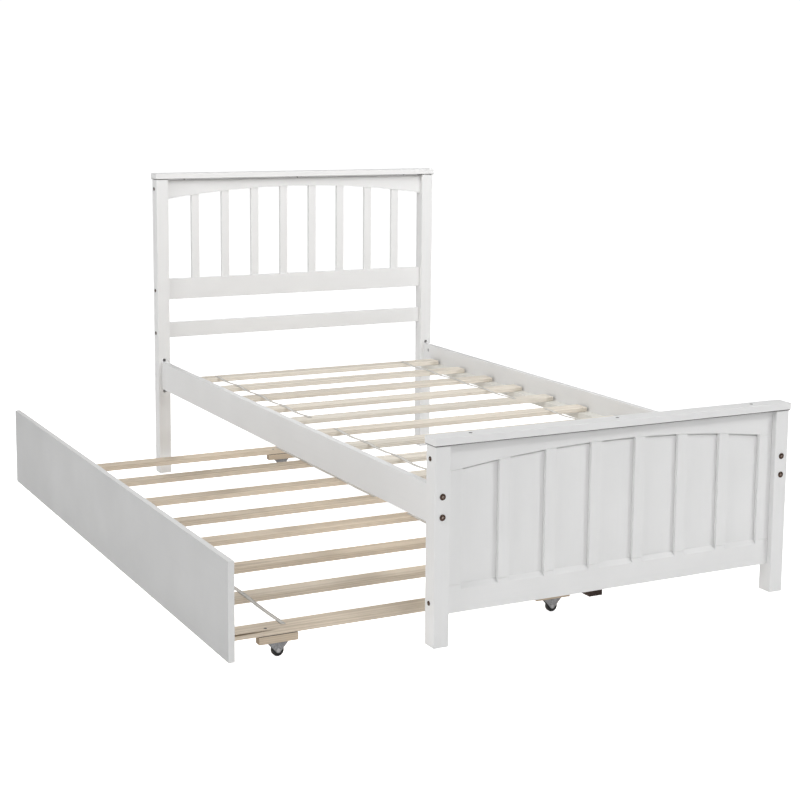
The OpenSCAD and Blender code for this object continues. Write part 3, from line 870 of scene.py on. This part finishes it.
def make_bolts(node, head_h=0.0025):
    """Socket bolts, all alike, where the CAD solids are: their heads are on the bed's outside."""
    boxes = solid_boxes(node)
    low, high = boxes[0]
    axis = long_axis(low, high)
    across = (axis + 1) % 3
    head_r = (high[across] - low[across]) / 2
    bolt = socket_bolt(head_r / 2, head_r, head_h, high[axis] - low[axis] - head_h)
    parts = []
    for low, high in boxes:
        middle = (low + high) / 2
        inward = (X, Y, Z)[axis] * (1 if middle[axis] < 0 else -1)
        under_head = middle - inward * ((high[axis] - low[axis]) / 2 - head_h)
        parts.append(moved_copy(bolt, Matrix.Translation(under_head) @ turn_to(inward)))
    bolt.free()
    add_piece("socket_" + node, join(parts), [BRONZE, SOCKET_HIGHLIGHT_BRONZE], [node])


def make_barrel_nuts():
    """Cross dowels with a screwdriver slot in the end that shows."""
    chamfer, slot_half, slot_deep = 0.0006, 0.0009, 0.0015
    parts = []
    for low, high in solid_boxes("barrel_nuts"):
        radius = (high.y - low.y) / 2
        middle = (low + high) / 2
        inward = -1 if middle.x > 0 else 1
        length = high.x - low.x
        profile = [(0.0, 0.0), (radius - chamfer, 0.0), (radius, chamfer), (radius, length), (0.0, length)]
        nut = turned_mesh(profile, 32)
        slot = Vector((1.2 * radius, slot_half, slot_deep))
        nut = combine(nut, [box_mesh(Vector((-slot.x, -slot.y, -OVER)), slot)])
        face = Vector((high.x if inward > 0 else low.x, middle.y, middle.z))
        parts.append(moved_copy(nut, Matrix.Translation(face) @ turn_to(X * -inward)))
        nut.free()
    add_piece("slotted_barrel_nuts", join(parts), [ZINC], ["barrel_nuts"])


def cross_cutters(half, depth, top):
    """The two bars of a screw head's cross recess."""
    return [box_mesh(Vector((-u, -v, top - depth)), Vector((u, v, top + OVER)))
            for u, v in ((half, half / 5), (half / 5, half))]


def countersunk_screw(length):
    """Screw down along -Z, its flat head level with z = 0."""
    head_r, shank_r, head_h = 0.0039, 0.0019, 0.003
    profile = [(0.0, -0.0001), (head_r - 0.0002, -0.0001), (head_r, -0.0003), (shank_r, -head_h),
               (shank_r, 0.004 - length), (0.0003, -length), (0.0, -length)]
    return combine(turned_mesh(profile, 28), cross_cutters(0.0023, 0.0016, 0.0))


PAN_R, PAN_H = 0.0035, 0.002  # domed screw head


def pan_screw(length):
    """Screw along +Z with a domed head below z = 0."""
    head_r, shank_r, head_h = PAN_R, 0.002, PAN_H
    dome = [(head_r * math.sin(a), -head_h * math.cos(a) ** 0.7) for a in (0.0, 0.35, 0.7, 1.05, 1.4)]
    profile = [*dome, (head_r, -0.0001), (head_r - 0.0002, 0.0), (shank_r, 0.0),
               (shank_r, length - 0.003), (0.0003, length), (0.0, length)]
    return combine(turned_mesh(profile, 28), cross_cutters(0.0019, 0.0012, -head_h + 0.0010))


def head_side(node, axis, middle, high):
    """The direction that a screw's head faces."""
    if axis == 2:
        head_up = node == "bed_screws" or high.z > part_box("trundle_slat_1")[1].z - NEAR / 2
        return Z if head_up else -Z
    if node == "trundle_screws":
        return X
    return X * (-1 if middle.x > 0 else 1)


def make_screws(node):
    """Every screw of a node where its CAD solid is: the pan heads point down, under the casters' plates."""
    parts = []
    for low, high in solid_boxes(node):
        axis = long_axis(low, high)
        head_r = (high[(axis + 1) % 3] - low[(axis + 1) % 3]) / 2
        length = high[axis] - low[axis]
        middle = (low + high) / 2
        if abs(head_r - PAN_R) < 0.1 * NEAR:
            screw = pan_screw(length - PAN_H)
            screw.transform(Matrix.Translation(Vector((middle.x, middle.y, low.z + PAN_H))))
        else:
            direction = head_side(node, axis, middle, high)
            sunk = CAP_SINK if node == "bed_screws" and axis == 2 else 0.0
            head = middle + direction * (length / 2 - sunk)
            screw = countersunk_screw(length - 2 * sunk)
            screw.transform(Matrix.Translation(head) @ turn_to(direction))
        parts.append(screw)
    # The screws take the darkened zinc: painted shade.
    add_piece("cross_head_" + node, join(parts), [SHADE_DARKENED_ZINC], [node])


# ---------- Trundle ----------

def make_trundle_frame():
    low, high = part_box("trundle_front_panel")
    add_piece("painted_trundle_front_panel", box_mesh(low, high, EASE_PANEL), [SHADED_PANEL_PAINT],
              ["trundle_front_panel"])
    # The inner rail takes the nearly black tones: painted shade.
    for seed, node, tones in ((50.0, "trundle_front_ledger", (DECK_LIGHT, DECK_DARK)),
                              (51.0, "trundle_inner_rail", (SHADED_RAIL_PALE, SHADED_RAIL_DEEP))):
        low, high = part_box(node)
        wood = pine_along_y("pine_" + node, low, high, tones, seed)
        add_piece("planed_" + node, box_mesh(low, high, EASE_BLOCK), [wood], [node])


def pine_along_y(name, low, high, tones, seed):
    """The slats' pine with its coordinates turned, so that the grain runs along Y."""
    material = slat_pine(name, low, high, *tones, seed)
    tree = material.node_tree
    for mapping in [n for n in tree.nodes if n.type == "MAPPING"]:
        source = mapping.inputs["Vector"].links[0].from_socket
        split = put(tree, "ShaderNodeSeparateXYZ", {"Vector": source})
        turned = put(tree, "ShaderNodeCombineXYZ", {"X": split.outputs["Y"], "Y": split.outputs["X"],
                                                    "Z": split.outputs["Z"]})
        tree.links.new(turned.outputs["Vector"], mapping.inputs["Vector"])
    facing = next(n for n in tree.nodes if n.type == "MATH" and n.operation == "ABSOLUTE")
    split = facing.inputs[0].links[0].from_node
    tree.links.new(split.outputs["Y"], facing.inputs[0])
    return material


def make_caster_blocks():
    """Blocks with an open joint under the slat, its inset core black as painted shadow, like the caps'
    joints.
    """
    parts = []
    for low, high in solid_boxes("caster_blocks"):
        inset = Vector((JOINT_IN, JOINT_IN, 0.0))
        joint = box_mesh(Vector((low.x, low.y, high.z - JOINT_H - OVER)) + inset, high - inset)
        # The joint's inset core is painted shadow.
        for face in joint.faces:
            face.material_index = 1
        parts += [box_mesh(low, high - Z * JOINT_H, EASE_BLOCK), joint]
    low, high = solid_boxes("caster_blocks")[0]
    wood = slat_pine("pine_caster_blocks", low, high, (0.70, 0.60, 0.48), (0.58, 0.47, 0.35), 77.0)
    add_piece("sawn_caster_blocks", join(parts), [wood, PAINTED_SHADOW], ["caster_blocks"])


def cheek_outline(plate_half, top, plate_t, round_r):
    """Side of a bracket in X and Z about the axle, straight from the plate into the round."""
    corner = Vector((plate_half, top - plate_t))
    turn = math.atan2(corner.y, corner.x) - math.acos(round_r / corner.length)
    steps = 14
    arc = []
    for k in range(steps + 1):
        a = turn + (-math.pi - 2 * turn) * k / steps
        arc.append((round_r * math.cos(a), round_r * math.sin(a)))
    return [(-plate_half, top), (plate_half, top), (plate_half, top - plate_t), *arc,
            (-plate_half, top - plate_t)]


def bracket_mesh(low, high, axle_z):
    """Pressed bracket: one sheet bent into a channel over the wheel, its cheeks cut to the axle."""
    sheet, bend, round_r, hole_r = 0.0015, 0.0022, 0.0065, 0.0030
    skin = 0.0001  # keeps the cutter's faces off the channel's
    middle = (low + high) / 2
    half_y = (high.y - low.y) / 2
    inner_y = half_y - sheet
    top, floor = high.z - axle_z, low.z - axle_z - 2 * OVER
    corner = [(half_y - bend + bend * math.cos(a), top - bend + bend * math.sin(a))
              for a in (0.0, 0.52, 1.05, math.pi / 2)]
    outer = [(half_y, floor), *corner, *[(-y, z) for y, z in corner[::-1]], (-half_y, floor)]
    inner = [(-inner_y, floor), (-inner_y, top - sheet), (inner_y, top - sheet), (inner_y, floor)]
    plate_half = (high.x - low.x) / 2
    channel = prism_mesh(outer + inner, 0, -plate_half, plate_half)
    outline = cheek_outline(plate_half - skin, top + skin, sheet, round_r)
    side = prism_mesh(outline, 1, -half_y - OVER, half_y + OVER)
    bracket = combine(channel, [side], "INTERSECT")
    bracket = combine(bracket, [rod_mesh(Vector((0, 0, 0)), 1, 2 * half_y + 10 * OVER, hole_r)])
    bracket.transform(Matrix.Translation(Vector((middle.x, middle.y, axle_z))))
    return bracket


def rivet_mesh(low, high):
    """Axle with a domed head at each end, along Y."""
    half = (high.y - low.y) / 2
    head_r, shank_r, head_h = (high.x - low.x) / 2, 0.003, 0.001
    dome = [(head_r * math.sin(a), half - head_h + head_h * math.cos(a)) for a in (0.0, 0.4, 0.8, 1.2, 1.5)]
    upper = dome + [(head_r, half - head_h), (shank_r, half - head_h)]
    profile = upper + [(r, -z) for r, z in upper[::-1]]
    axle = turned_mesh(profile, 28)
    axle.transform(Matrix.Translation((low + high) / 2) @ Matrix.Rotation(math.pi / 2, 4, "X"))
    return axle


def wheel_mesh(low, high):
    """Moulded wheel: rounded tread with a parting line, dished sides, a hub round the axle."""
    radius, half = (high.z - low.z) / 2, (high.y - low.y) / 2
    bore, hub, web, rim = 0.00305, 0.0062, 0.0030, radius - 0.0032
    edge, parting = 0.0018, 0.00025
    shoulder = [(radius - edge + edge * math.cos(a), half - edge + edge * math.sin(a))
                for a in (math.pi / 2, 1.1, 0.6, 0.2, 0.0)]
    side = [(bore, half), (hub, half), (hub + 0.0006, web + 0.0006), (hub + 0.0014, web),
            (rim - 0.0012, web), (rim, web + 0.0010), (rim + 0.0004, half), *shoulder,
            (radius, 0.0004), (radius - parting, 0.0)]
    profile = side + [(r, -z) for r, z in side[-2::-1]]
    wheel = turned_mesh(profile, 64)
    wheel.transform(Matrix.Translation((low + high) / 2) @ Matrix.Rotation(math.pi / 2, 4, "X"))
    return wheel


def make_casters():
    make_caster_blocks()
    axles = solid_boxes("caster_axles")
    axle_z = (axles[0][0].z + axles[0][1].z) / 2
    brackets = [bracket_mesh(low, high, axle_z) for low, high in solid_boxes("caster_brackets")]
    add_piece("pressed_caster_brackets", join(brackets), [CASTER_STEEL], ["caster_brackets"])
    add_piece("riveted_caster_axles", join([rivet_mesh(low, high) for low, high in axles]), [ZINC],
              ["caster_axles"])
    for node in sorted(n for n in frame["nodes"] if n.startswith("caster_wheel_")):
        add_piece("moulded_" + node, wheel_mesh(*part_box(node)), [NYLON], [node])


# ---------- Stage, light and camera ----------

CAMERA_AT = Vector((-2.309, -4.247, 1.314))
CAMERA_YAW, CAMERA_PITCH, CAMERA_ROLL = 26.78, 8.06, 0.37  # degrees: right of +Y, down, and tilt
CAMERA_LENS = 72.6
CAMERA_SHIFT = (0.024, -0.10)
FLOOR_GLOW, FLOOR_SEEN = 0.30, 0.93  # the floor's emission, to the object and to the camera
WORLD_GLOW, WORLD_SEEN = 0.15, 1.05  # the same for the surroundings


def make_camera():
    data = bpy.data.cameras.new("camera")
    data.lens = CAMERA_LENS
    data.sensor_width = 36.0
    data.shift_x, data.shift_y = CAMERA_SHIFT
    camera = bpy.data.objects.new("camera", data)
    bpy.context.scene.collection.objects.link(camera)
    look = Matrix.Rotation(-math.radians(CAMERA_YAW), 4, "Z")
    look = look @ Matrix.Rotation(math.radians(90 - CAMERA_PITCH), 4, "X")
    look = look @ Matrix.Rotation(math.radians(CAMERA_ROLL), 4, "Z")
    camera.matrix_world = Matrix.Translation(CAMERA_AT) @ look
    bpy.context.scene.camera = camera


def make_floor():
    """Wide pale floor, just below the feet."""
    bm = bmesh.new()
    bmesh.ops.create_grid(bm, x_segments=1, y_segments=1, size=40)
    mesh = bpy.data.meshes.new("floor")
    bm.to_mesh(mesh)
    bm.free()
    floor = bpy.data.objects.new("floor", mesh)
    floor.location.z = -0.0004
    bpy.context.scene.collection.objects.link(floor)
    material, tree, shader = new_material("pale_floor")
    shader.inputs["Base Color"].default_value = rgb(0.85, 0.85, 0.85)
    shader.inputs["Roughness"].default_value = 0.9
    shader.inputs["Specular IOR Level"].default_value = 0.0
    shader.inputs["Emission Color"].default_value = rgb(1, 1, 1)
    seen = put(tree, "ShaderNodeLightPath").outputs["Is Camera Ray"]
    tree.links.new(remap(tree, seen, 0, 1, FLOOR_GLOW, FLOOR_SEEN), shader.inputs["Emission Strength"])
    mesh.materials.append(material)


def make_world():
    """Even white surroundings, brighter to the camera than to the object."""
    world = bpy.data.worlds.new("studio")
    world.use_nodes = True
    bpy.context.scene.world = world
    tree = world.node_tree
    back = tree.nodes["Background"]
    seen = put(tree, "ShaderNodeLightPath").outputs["Is Camera Ray"]
    back.inputs["Color"].default_value = rgb(1, 1, 1)
    tree.links.new(remap(tree, seen, 0, 1, WORLD_GLOW, WORLD_SEEN), back.inputs["Strength"])


def make_lamp(name, at, target, size, power):
    """Square softbox at a point, facing a target."""
    data = bpy.data.lights.new(name, "AREA")
    data.shape = "SQUARE"
    data.size = size
    data.energy = power
    lamp = bpy.data.objects.new(name, data)
    turn = (target - at).to_track_quat("-Z", "Y").to_matrix().to_4x4()
    lamp.matrix_world = Matrix.Translation(at) @ turn
    bpy.context.scene.collection.objects.link(lamp)


def make_lights():
    """Softboxes all round: the small ones in front draw the fine shadows."""
    middle = Vector((-0.2, 0.0, 0.3))
    for name, direction, distance, size, power in (
        ("front", (0.15, -1.0, 0.44), 6.9, 0.8, 38),
        ("key", (0.8, -0.96, 0.88), 5.7, 0.9, 75),
        ("left", (-1.0, -0.2, 0.6), 6.0, 4.0, 155),
        ("back", (0.0, 1.0, 1.2), 6.0, 1.4, 82),
    ):
        make_lamp(name, middle + Vector(direction).normalized() * distance, middle, size, power)
    make_lamp("inner", Vector((0.3, -0.5, 2.6)), Vector((0.0, 0.98, 0.6)), 1.5, 21)


make_camera()
make_floor()
make_world()
make_lights()
make_posts()
make_headboard()
make_footboard()
make_side_rails()
make_bed_slats()
make_webbing("bed_webbing", "bed_slat_", 0.0035)
make_bolts("rail_bolts")
make_bolts("frame_bolts")
make_barrel_nuts()
make_screws("bed_screws")
make_trundle_frame()
make_trundle_slats()
make_webbing("trundle_webbing", "trundle_slat_", 0.0015)
make_screws("trundle_screws")
make_casters()

bpy.context.scene.view_settings.view_transform = "Standard"
